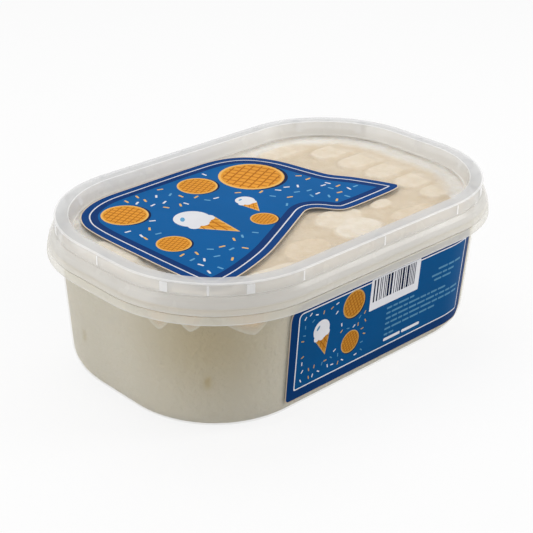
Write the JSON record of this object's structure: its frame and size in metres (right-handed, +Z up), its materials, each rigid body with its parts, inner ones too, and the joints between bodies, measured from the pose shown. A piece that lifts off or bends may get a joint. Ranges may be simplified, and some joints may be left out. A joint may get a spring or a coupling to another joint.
{
  "type": "ice cream tub",
  "caption": "Closed oval plastic tub of vanilla ice cream with a translucent press-on lid and printed labels on the lid and long sides.",
  "frame": {"origin": "middle of the tub's flat base, on the surface it stands on", "axes": "+X along the tub's long axis, -Y towards the front label, +Z up out of the lid"},
  "size_m": [0.1814, 0.12, 0.0635],
  "materials": {
    "tub_plastic": "translucent moulded polypropylene, satin gloss",
    "lid_plastic": "clear translucent moulded polypropylene, glossy",
    "ice_cream": "frozen vanilla ice cream, soft and slightly icy",
    "label_film": "glossy printed film, blue with a yellow ribbon"
  },
  "bodies": {
    "root": {"tub": "tub_plastic", "lid": "lid_plastic", "ice_cream": "ice_cream", "lid_label": "label_film", "side_label_front": "label_film", "side_label_back": "label_film"}
  },
  "joints": []
}
